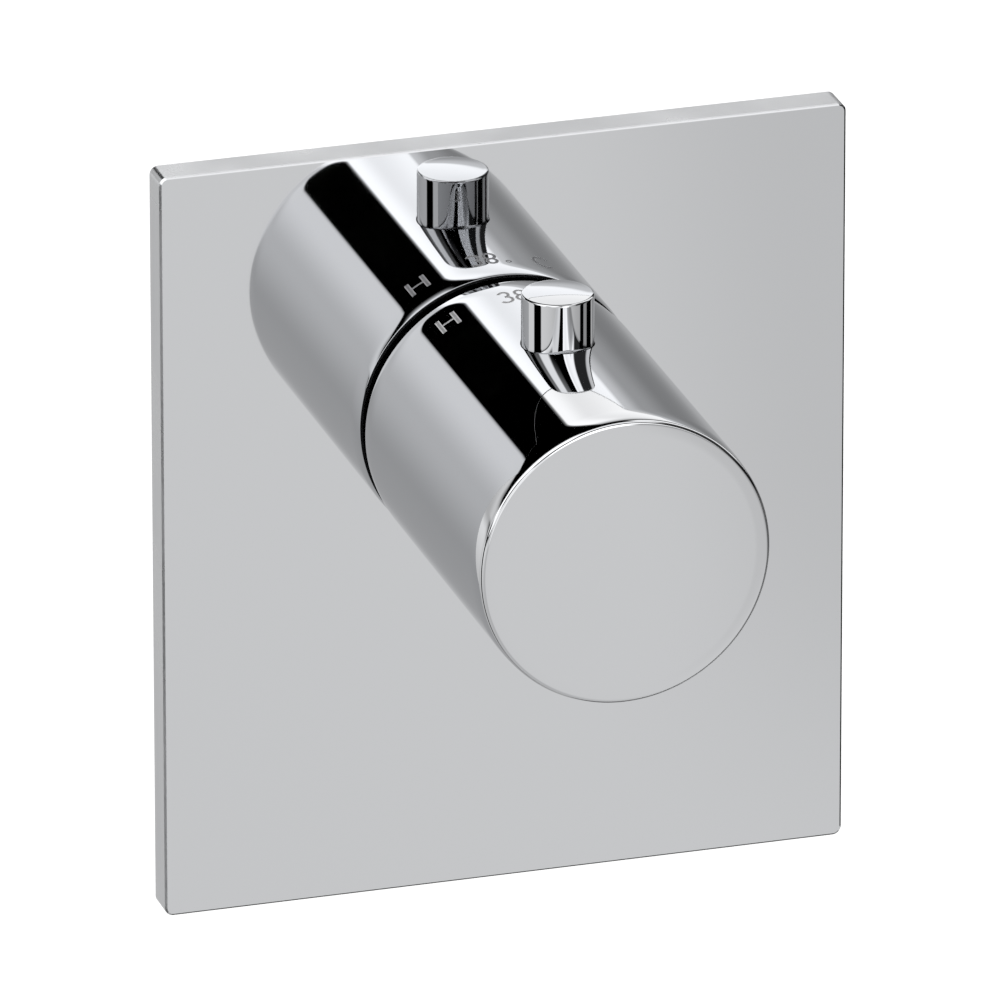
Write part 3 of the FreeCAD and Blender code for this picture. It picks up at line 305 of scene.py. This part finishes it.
def coat(node, finish):
    """A CAD node keeps its shape and gets this finish."""
    mesh = frame["nodes"][node].data
    mesh.materials.clear()
    mesh.materials.append(finish)


rolled_steel, add, place = surface("rolled_steel")
grain = noise(stretched(place, (60, 2600, 2600)), 1.0, 4.0)
smear = noise(place, 45.0)
skin(tinted(smear, (0.46, 0.46, 0.47, 1), (0.60, 0.60, 0.61, 1)),
     sums("ADD", spread(grain, 0.25, 0.75, 0.24, 0.36), spread(smear, 0.4, 0.7, 0.0, 0.08)),
     grain, 0.00002, 1.0)
coat("mounting_bracket", rolled_steel)

# ------------------------------------------------------------------ steel screws and pins
# Bracket screws, insert screw, grub screw, tongue screw, element pin, circlip and plunger ring:
# small turned or stamped stainless pieces, tumbled bright.
tumbled_steel, add, place = surface("tumbled_steel")
nicks = noise(place, 2600.0, 4.0)
cloud = noise(place, 300.0)
skin(tinted(cloud, (0.52, 0.52, 0.54, 1), (0.68, 0.68, 0.69, 1)),
     spread(nicks, 0.3, 0.7, 0.20, 0.36), nicks, 0.000012, 1.0)
for node in ("bracket_screws", "insert_screw", "handle_grub_screw", "tongue_screw",
             "piston_pin", "spindle_circlip", "plunger_retaining_ring"):
    coat(node, tumbled_steel)


# ------------------------------------------------------------------ valve body
# Sand-cast brass. The casting skin is dull and grained, and the inlets, the outlet, the neck and
# the back are machined bright, with fine tool rings.
def smoothed(mesh, sharp):
    """Shades a mesh smoothly, but for edges that turn by more than this angle in degrees."""
    mesh.polygons.foreach_set("use_smooth", np.ones(len(mesh.polygons), bool))
    mesh.set_sharp_from_angle(angle=math.radians(sharp))


def joined(node, finish, bent=None):
    """A CAD node's own triangles joined into one mesh, so that its round faces shade smoothly.
    It stands for the node and rides on the node's body, or, where bent is given, stays fixed
    where it is and rides on no body."""
    mesh = bpy.data.meshes.new(node + "_skin")
    work = bmesh.new()
    work.from_mesh(frame["nodes"][node].data)
    bmesh.ops.remove_doubles(work, verts=work.verts, dist=1e-7)
    work.to_mesh(mesh)
    work.free()
    smoothed(mesh, sharp=24)
    made = bpy.data.objects.new(node + "_skin", mesh)
    bpy.context.scene.collection.objects.link(made)
    mesh.materials.append(finish)
    if bent:
        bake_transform(made)
    else:
        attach(made, BODY[node])
    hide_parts(node)


def rings(axis, centre=(0.0, 0.0, 0.0)):
    """A place turned into (distance from an axis, distance along it), so that noise on it makes
    the rings that a lathe tool leaves."""
    ahead = {"X": (1, 0, 0), "Y": (0, 1, 0), "Z": (0, 0, 1)}[axis]
    from_centre = add("ShaderNodeVectorMath", {0: place, 1: centre},
                      operation="SUBTRACT").outputs[0]
    along = add("ShaderNodeVectorMath", {0: from_centre, 1: ahead},
                operation="DOT_PRODUCT").outputs["Value"]
    flat = stretched(from_centre, tuple(1 - part for part in ahead))
    out = add("ShaderNodeVectorMath", {0: flat}, operation="LENGTH").outputs["Value"]
    return add("ShaderNodeCombineXYZ", {"X": out, "Y": along}).outputs[0]


BRASS_DEEP, BRASS_LIGHT = (0.60, 0.43, 0.20, 1), (0.78, 0.60, 0.32, 1)
INLET_X, OUTLET_Z, NECK_Y, BACK_Y = 0.0385, -0.0415, -0.0481, -0.0022
INLET_AXIS, OUTLET_AXIS = (0, -0.033, 0), (0, -0.022, 0)
cast_brass, add, place = surface("cast_brass")
across, towards, upwards = add("ShaderNodeSeparateXYZ", {0: place}).outputs
inlets = sums("GREATER_THAN", sums("ABSOLUTE", across), INLET_X)
outlet = sums("LESS_THAN", upwards, OUTLET_Z)
neck = sums("LESS_THAN", towards, NECK_Y)
rear = sums("GREATER_THAN", towards, BACK_Y)
tooled = sums("MAXIMUM", sums("MAXIMUM", inlets, outlet), sums("MAXIMUM", neck, rear))
sand = noise(place, 1400.0, 5.0, 0.6)
patch = noise(place, 70.0, 4.0)
tool = blended(inlets, noise(rings("Y"), 5200.0, 2.0),
               noise(rings("X", INLET_AXIS), 5200.0, 2.0))
tool = blended(outlet, tool, noise(rings("Z", OUTLET_AXIS), 5200.0, 2.0))
cast = tinted(spread(patch, 0.3, 0.7), (0.36, 0.25, 0.12, 1), (0.52, 0.38, 0.19, 1))
bright = tinted(spread(tool, 0.3, 0.7), BRASS_DEEP, BRASS_LIGHT)
skin(tinted(tooled, cast, bright),
     blended(tooled, spread(sand, 0.3, 0.7, 0.42, 0.60), spread(tool, 0.3, 0.7, 0.18, 0.30)),
     blended(tooled, sand, sums("MULTIPLY", tool, 0.12)), 0.00012, 1.0)
joined("valve_body", cast_brass)

# ------------------------------------------------------------------ turned brass pieces
# Cartridge headwork, its nut, the spindle, the adjusting nut, the overload plunger and the
# element's clamp nut: brass turned from bar, with fine rings from the tool.
turned_brass, add, place = surface("turned_brass")
tool = noise(rings("Y"), 6500.0, 2.0)
stain = noise(place, 120.0, 4.0)
skin(tinted(spread(stain, 0.35, 0.7), BRASS_LIGHT, BRASS_DEEP),
     spread(tool, 0.3, 0.7, 0.16, 0.30), tool, 0.000014, 1.0)
for node in ("cartridge_headwork", "cartridge_nut", "spindle", "adjusting_nut",
             "overload_plunger", "element_clamp_nut"):
    joined(node, turned_brass)

# ------------------------------------------------------------------ wax element
# Drawn copper bulb: bright along its length, with brown oxide in patches.
drawn_copper, add, place = surface("drawn_copper")
lines = noise(stretched(place, (4200, 90, 4200)), 1.0, 3.0)
oxide = noise(place, 160.0, 5.0, 0.6)
skin(tinted(spread(oxide, 0.45, 0.72), (0.78, 0.43, 0.28, 1), (0.38, 0.19, 0.11, 1)),
     sums("ADD", spread(lines, 0.3, 0.7, 0.20, 0.32), spread(oxide, 0.45, 0.7, 0.0, 0.22)),
     lines, 0.000012, 1.0)
joined("wax_element", drawn_copper)

# ------------------------------------------------------------------ springs and filters
# Coil springs of drawn stainless wire, and the stop's tongue and the inlet filters in the same
# steel. It is dull from the die, with a darker film in patches.
drawn_wire, add, place = surface("drawn_wire")
die = noise(place, 3400.0, 3.0)
film = noise(place, 420.0)
skin(tinted(film, (0.36, 0.36, 0.38, 1), (0.60, 0.60, 0.61, 1)),
     spread(die, 0.3, 0.7, 0.26, 0.44), die, 0.00001, 1.0)
joined("return_spring", drawn_wire, ("valve", "shuttle", (0, -0.012, 0), (0, -0.0288, 0)))
joined("overload_spring", drawn_wire, ("adjuster", "plunger", (0, -0.061, 0), (0, -0.050, 0)))
joined("hot_check_spring", drawn_wire,
       ("valve", "hot_poppet", (-0.0223, -0.033, 0), (-0.0264, -0.033, 0)))
joined("cold_check_spring", drawn_wire,
       ("valve", "cold_poppet", (0.0223, -0.033, 0), (0.0264, -0.033, 0)))
joined("safety_stop_tongue", drawn_wire,
       ("handle", "button", (0, -0.097, 0.016), (0, -0.0918, 0.016)))
for node in ("hot_inlet_filter", "cold_inlet_filter"):
    coat(node, drawn_wire)

# ------------------------------------------------------------------ white mouldings
# Cartridge sleeve, shuttle, handle insert, and the check valves' housings and poppets: acetal,
# off-white and a little waxy, with a faint spark texture from the mould.
acetal, add, place = surface("acetal")
spark = noise(place, 2800.0, 3.0)
flow = noise(place, 60.0)
skin(tinted(flow, (0.74, 0.73, 0.68, 1), (0.83, 0.82, 0.78, 1)),
     spread(spark, 0.3, 0.7, 0.34, 0.50), spark, 0.00002)
for node in ("cartridge_sleeve", "shuttle", "handle_insert", "hot_check_housing",
             "cold_check_housing", "hot_check_poppet", "cold_check_poppet"):
    joined(node, acetal)

# ------------------------------------------------------------------ black mouldings
# Wall sleeve on the body's neck, and the safety stop ring: glass-filled nylon, with pale streaks
# where the glass comes near the skin.
nylon, add, place = surface("nylon")
glass = noise(stretched(place, (1500, 260, 1500)), 1.0, 4.0)
spark = noise(place, 2400.0, 3.0)
skin(tinted(spread(glass, 0.55, 0.8), (0.012, 0.012, 0.013, 1), (0.045, 0.045, 0.047, 1)),
     spread(glass, 0.3, 0.7, 0.38, 0.56), spark, 0.00003)
for node in ("wall_sleeve", "safety_stop_ring"):
    joined(node, nylon)

# ------------------------------------------------------------------ rubber rings
# O-rings in black nitrile rubber, slightly greased: a matt skin with a faint grey bloom.
nitrile, add, place = surface("nitrile")
bloom = noise(place, 700.0, 4.0)
pitted = noise(place, 4000.0, 2.0)
skin(tinted(spread(bloom, 0.5, 0.8), (0.012, 0.012, 0.012, 1), (0.06, 0.06, 0.062, 1)),
     spread(bloom, 0.3, 0.7, 0.36, 0.62), pitted, 0.000015)
for node in ("plate_seal_ring", "cartridge_seal_rings", "spindle_seal_rings",
             "shuttle_seal_ring", "hot_check_seal_ring", "cold_check_seal_ring"):
    joined(node, nitrile)

# ------------------------------------------------------------------ wall gasket
# Frame of black closed-cell foam stuck in the plate's hollow back. Its cut face is all small
# open cells.
foam, add, place = surface("foam")
cells = add("ShaderNodeTexVoronoi", {"Vector": place, "Scale": 1500.0}).outputs["Distance"]
mottle = noise(place, 220.0, 4.0)
skin(tinted(spread(cells, 0.1, 0.6), (0.020, 0.020, 0.022, 1), (0.075, 0.075, 0.080, 1)),
     spread(mottle, 0.3, 0.7, 0.80, 0.95), cells, 0.00025)
coat("wall_gasket", foam)

# ------------------------------------------------------------------ cover plate
# Brass plate, ground flat and chrome plated, with a fine bevel round its face. The face is
# polished; the narrow edges, the left bevel, the rear half of the top and bottom bevels and the
# hollow back are left satin.
CHROME = (0.560, 0.566, 0.578, 1)
EDGES_Y, BEVEL_Y, LEFT_BEVEL_X, RIGHT_BEVEL_X = -0.06162, -0.06178, -0.05961, 0.0596
plate_chrome, add, place = surface("plate_chrome")
across, towards, _ = add("ShaderNodeSeparateXYZ", {0: place}).outputs
rear_half = sums("MULTIPLY", sums("GREATER_THAN", towards, BEVEL_Y),
                 sums("LESS_THAN", across, RIGHT_BEVEL_X))
satin = sums("MAXIMUM", sums("GREATER_THAN", towards, EDGES_Y),
             sums("MAXIMUM", rear_half, sums("LESS_THAN", across, LEFT_BEVEL_X)))
haze = noise(place, 55.0, 4.0)
skin(CHROME, blended(satin, spread(haze, 0.3, 0.75, 0.012, 0.03),
                     spread(haze, 0.3, 0.7, 0.26, 0.34)),
     sums("MULTIPLY", noise(place, 900.0), satin), 0.000025, 1.0)
coat("cover_plate", plate_chrome)


# ------------------------------------------------------------------ temperature handle
# One turned brass cup over the spindle, polished and chrome plated, with edges that roll off
# gently. Its rear rim is painted near black, as painted shade for the dark gap between the handle
# and the plate. It is cross-drilled on top for the button, through a rounded lip, and underneath
# for the grub screw.
def arc(centre, radius, start, end, count):
    """Points on a circle: centre plus radius times the cosine and sine, in degrees."""
    turn = np.radians(np.linspace(start, end, count))
    return [(centre[0] + radius * math.cos(t), centre[1] + radius * math.sin(t)) for t in turn]


def outwards(mesh):
    """Turns a closed mesh right side out."""
    work = bmesh.new()
    work.from_mesh(mesh)
    bmesh.ops.recalc_face_normals(work, faces=work.faces)
    work.to_mesh(mesh)
    work.free()


def turned(name, profile, steps, axis="Y", along=0.0):
    """A profile of (radius, distance) points in millimetres, swept once round an axis in so many
    steps. It starts and ends on the axis, so each end closes in one point. Round Y the distance
    counts towards the room; round Z it counts up, on an axis that stands at y = -along."""
    profile = np.array(profile) / 1000
    turn = np.arange(steps) * 2 * np.pi / steps
    radius = profile[1:-1, 0][:, None]
    reach = np.repeat(profile[1:-1, 1][:, None], steps, 1)
    across, side = radius * np.cos(turn), radius * np.sin(turn)
    tip_a, tip_b = profile[0, 1], profile[-1, 1]
    if axis == "Y":
        points = np.stack([across, -reach, side], -1).reshape(-1, 3)
        ends = [(0, -tip_a, 0), (0, -tip_b, 0)]
    else:
        points = np.stack([across, side - along / 1000, reach], -1).reshape(-1, 3)
        ends = [(0, -along / 1000, tip_a), (0, -along / 1000, tip_b)]
    points = np.concatenate([points, ends])
    here = np.arange(steps)
    after = (here + 1) % steps
    rows = len(profile) - 2
    faces = [[k * steps + here, k * steps + after, (k + 1) * steps + after,
              (k + 1) * steps + here] for k in range(rows - 1)]
    faces = np.concatenate([np.stack(f, -1) for f in faces]).tolist()
    first, last = rows * steps, rows * steps + 1
    faces += np.stack([after, here, np.full(steps, first)], -1).tolist()
    faces += np.stack([(rows - 1) * steps + here, (rows - 1) * steps + after,
                       np.full(steps, last)], -1).tolist()
    mesh = bpy.data.meshes.new(name)
    mesh.from_pydata(points.tolist(), [], faces)
    made = bpy.data.objects.new(name, mesh)
    bpy.context.scene.collection.objects.link(made)
    outwards(mesh)
    smoothed(mesh, sharp=28)
    return made


def drilled(piece, drills):
    """The piece with the drills cut out of it, as a plain mesh."""
    for drill in drills:
        cut = piece.modifiers.new("cut", "BOOLEAN")
        cut.operation = "DIFFERENCE"
        cut.solver = "EXACT"
        cut.object = drill
    bpy.context.view_layer.update()
    graph = bpy.context.evaluated_depsgraph_get()
    whole = bpy.data.meshes.new_from_object(piece.evaluated_get(graph))
    piece.modifiers.clear()
    piece.data = whole
    whole.name = piece.name
    for drill in drills:
        bpy.data.objects.remove(drill)
    smoothed(whole, sharp=8)
    return piece


def dressed(piece, finish, slot, body, *nodes):
    """Gives a piece its finish, rides it on its body and stands it for the nodes. The slot is not
    used.
    """
    piece.data.materials.clear()
    piece.data.materials.append(finish)
    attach(piece, body)
    if nodes:
        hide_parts(*nodes)


# towards the wall from here the handle's rear rim is painted near black: painted shade for the gap
# before the plate
PAINTED_SHADE_RIM_Y = -0.0635
chrome, add, place = surface("polished_chrome")
painted_shade_rim = sums("GREATER_THAN", add("ShaderNodeSeparateXYZ", {0: place}).outputs["Y"], PAINTED_SHADE_RIM_Y)
skin(tinted(painted_shade_rim, CHROME, (0.02, 0.02, 0.021, 1)),
     blended(painted_shade_rim, spread(noise(place, 55.0, 4.0), 0.3, 0.75, 0.012, 0.035), 0.35),
     noise(place, 30.0, 1.0), 0.000004, 1.0)
HANDLE_R, HANDLE_REAR, HANDLE_FRONT = 25.25, 63.2, 129.8
BORE_R, BORE_END, FACE_RING_R, SIDE_FROM = 22.75, 126.8, 12.0, 5.4
FRONT_RIM, REAR_RIM, SOFT, ROLL = 0.8, 0.55, 4.8, 0.01455
CROWN, CROWN_WIDE, CROWN_DRAWN = 0.005, 2.0, 1.96


def rolled_edge(rim):
    """The handle's edge as (radius, distance from its end): the side rolls off over the last few
    millimetres, by ROLL times the square of the way gone, and ends in a rim of this radius."""
    lean = math.atan(2 * ROLL * (SOFT - rim))
    outs = np.linspace(SOFT, rim * (1 - math.sin(lean)), 16)
    soft = [(HANDLE_R - ROLL * (SOFT - out) ** 2, out) for out in outs]
    middle = (soft[-1][0] - rim * math.cos(lean), rim)
    return soft + arc(middle, rim, -math.degrees(lean), -88, 15)[1:]


# the flat face falls off over its last CROWN_WIDE, by CROWN times the square of the way gone
crown_drop = CROWN * CROWN_WIDE ** 2
front_edge = [(r, HANDLE_FRONT - crown_drop - out) for r, out in rolled_edge(FRONT_RIM)]
face_r = front_edge[-1][0] - CROWN_WIDE
handle_line = [(0.0, HANDLE_FRONT), (FACE_RING_R, HANDLE_FRONT)]
handle_line += [(r, HANDLE_FRONT - CROWN * (r - face_r) ** 2)
                for r in np.linspace(face_r, face_r + CROWN_DRAWN, 9)]
handle_line += front_edge[::-1]
handle_line += [(HANDLE_R, y)
                for y in np.linspace(HANDLE_FRONT - SIDE_FROM, HANDLE_REAR + SIDE_FROM, 16)]
handle_line += [(r, HANDLE_REAR + out) for r, out in rolled_edge(REAR_RIM)]
handle_line += [(BORE_R, HANDLE_REAR), (BORE_R, BORE_END), (0.0, BORE_END)]
# the button's hole has a rounded lip in front and behind, where it meets the top of the handle,
# and its drill flares on from the lip in a straight line; both drills run from the cup's inside
BUTTON_Y, BUTTON_R, HOLE_R, LIP, LIP_END = 91.8, 6.1, 6.22, 0.8, 100
FLARE_OUT, FLARE_UP = 3.0, 0.53
GRUB_Y, GRUB_R, INSIDE, OUTSIDE = 101.0, 1.55, 12, 30
lip = arc((HOLE_R + LIP, HANDLE_R - LIP), LIP, 180, LIP_END, 14)
flare_r, flare_top = lip[-1][0] + FLARE_OUT, lip[-1][1] + FLARE_UP
button_drill = turned("button_drill", [(0, INSIDE), (HOLE_R, INSIDE)] + lip
                      + [(flare_r, flare_top), (0, flare_top)], 192, "Z", BUTTON_Y)
grub_drill = turned("grub_drill", [(0, -OUTSIDE), (GRUB_R, -OUTSIDE), (GRUB_R, -INSIDE),
                                   (0, -INSIDE)], 64, "Z", GRUB_Y)
handle = drilled(turned("handle_cup", handle_line, 480), [button_drill, grub_drill])
dressed(handle, chrome, "polished_chrome", "handle", "temperature_handle")

# ------------------------------------------------------------------ marks
# H, 38 degrees and C etched through the chrome round the handle's rear edge, with their tops
# towards the wall. The etched line is matt grey and a little lighter along its edges.
MARK_Y, MARK_HIGH, BETWEEN, PROUD, SUNK = 70.8, 4.4, 2.6, 0.02, 0.03
STROKE, THIN, CROSSBAR, FINE = 0.82, 0.6, 0.44, 0.3
HOT_AT, SAFE_AT, COLD_AT = 120.0, 96.0, 68.0


def ring(centre, wide, high, start, end):
    """Points on an oval, from one angle to another in degrees."""
    turn = np.radians(np.linspace(start, end, 33))
    return np.stack([centre[0] + wide * np.cos(turn), centre[1] + high * np.sin(turn)], -1)


def line(*corners):
    """Points along straight lines between corners, a tenth of each line apart."""
    steps = np.linspace(0, 1, 11)[:, None]
    return np.concatenate([np.array(a) * (1 - steps) + np.array(b) * steps
                           for a, b in zip(corners, corners[1:])])


def etched(name, bearing, strokes, finish):
    """Strokes of (path, width) bent round the handle at a bearing. A path goes right round the
    handle and up towards the wall; each stroke is a flat bar, two points thick and three wide,
    that stands PROUD of the chrome and is SUNK in it."""
    points, faces, edge = [], [], []
    for path, width in strokes:
        ahead = np.gradient(path, axis=0)
        ahead /= np.maximum(np.linalg.norm(ahead, axis=1, keepdims=True), 1e-9)
        aside = np.stack([-ahead[:, 1], ahead[:, 0]], -1) * width / 2
        places = np.stack([path - aside, path, path + aside, path + aside, path, path - aside], 1)
        high = np.array([PROUD] * 3 + [-SUNK] * 3) + HANDLE_R
        turn = math.radians(bearing) - places[:, :, 0] / HANDLE_R
        here = np.stack([high * np.cos(turn), places[:, :, 1] - MARK_Y, high * np.sin(turn)], -1)
        first, count = sum(len(p) for p in points), len(path)
        row = first + 6 * np.arange(count - 1)[:, None]
        one, two = np.arange(6), (np.arange(6) + 1) % 6
        walls = np.stack([row + one, row + two, row + two + 6, row + one + 6], -1)
        faces += walls.reshape(-1, 4).tolist()
        last = first + 6 * (count - 1)
        faces += [[first + k for k in range(5, -1, -1)], [last + k for k in range(6)]]
        points.append(here.reshape(-1, 3))
        edge.append(np.tile([1.0, 0.0, 1.0, 1.0, 0.0, 1.0], count))
    mesh = bpy.data.meshes.new(name)
    mesh.from_pydata((np.concatenate(points) / 1000).tolist(), [], faces)
    layer = mesh.attributes.new("edge", "FLOAT", "POINT")
    layer.data.foreach_set("value", np.concatenate(edge))
    made = bpy.data.objects.new(name, mesh)
    bpy.context.scene.collection.objects.link(made)
    outwards(mesh)
    dressed(made, finish, "polished_chrome", "handle")


etching, add, place = surface("etching")
pits = noise(place, 6000.0, 2.0)
rim = add("ShaderNodeAttribute", attribute_name="edge").outputs["Fac"]
skin(tinted(spread(rim, 0.35, 0.95), (0.26, 0.26, 0.265, 1), (0.64, 0.64, 0.645, 1)),
     spread(pits, 0.3, 0.7, 0.6, 0.8), pits, 0.00002)
half, leg, leg_x = MARK_HIGH / 2, MARK_HIGH / 2 + 0.2, 1.5
etched("mark_hot", HOT_AT, [(line((-leg_x, -leg), (-leg_x, leg)), STROKE),
                            (line((leg_x, -leg), (leg_x, leg)), STROKE),
                            (line((-leg_x, 0), (leg_x, 0)), CROSSBAR)], etching)
top_bowl, low_bowl = 0.46 * half, 0.54 * half
eight_x, degree_x, degree_r = BETWEEN + 0.2, 2 * BETWEEN + 0.3, 0.42
three = [(ring((0, half - top_bowl), 0.82, top_bowl, 155, -90), THIN),
         (ring((0, low_bowl - half), 0.98, low_bowl, 90, -155), THIN)]
eight = [(ring((eight_x, half - top_bowl), 0.78, top_bowl, 0, 360), THIN),
         (ring((eight_x, low_bowl - half), 0.98, low_bowl, 0, 360), THIN)]
degree = [(ring((degree_x, half - 0.4), degree_r, degree_r, 0, 360), FINE)]
etched("mark_38", SAFE_AT, three + eight + degree, etching)
etched("mark_cold", COLD_AT, [(ring((0, 0), 1.75, half, 50, 310), STROKE)], etching)

# ------------------------------------------------------------------ safety button
# Turned brass push button in the handle's cross hole, chrome plated, with a slightly domed top.
# Its flange stays inside the handle and its foot rests on the spring tongue.
BUTTON_TOP, EDGE, DOMED, APART = 33.9, 0.4, 0.28, 0.03
FOOT_R, FOOT_END, PIN_RINGS = 2.0, 19.8, (24.0, 30.0)
FLANGE_R, FLANGE_UNDER, FLANGE_TOP = 7.2, 20.27, 21.27
edge_z, dome_r = BUTTON_TOP - DOMED - EDGE, BUTTON_R - EDGE
button_line = [(0, FOOT_END), (FOOT_R, FOOT_END), (FOOT_R, FLANGE_UNDER),
               (FLANGE_R, FLANGE_UNDER), (FLANGE_R, FLANGE_TOP), (BUTTON_R, FLANGE_TOP)]
button_line += [(BUTTON_R, z) for z in (*PIN_RINGS, edge_z - APART)]
button_line += arc((dome_r, edge_z), EDGE, 0, 88, 9)
button_line += [(r, BUTTON_TOP - DOMED * (r / dome_r) ** 2)
                for r in np.linspace(dome_r - APART, 0.4, 10)]
button_line += [(0, BUTTON_TOP)]
button = turned("stop_button", button_line, 240, "Z", BUTTON_Y)
dressed(button, chrome, "polished_chrome", "button", "safety_stop_button")
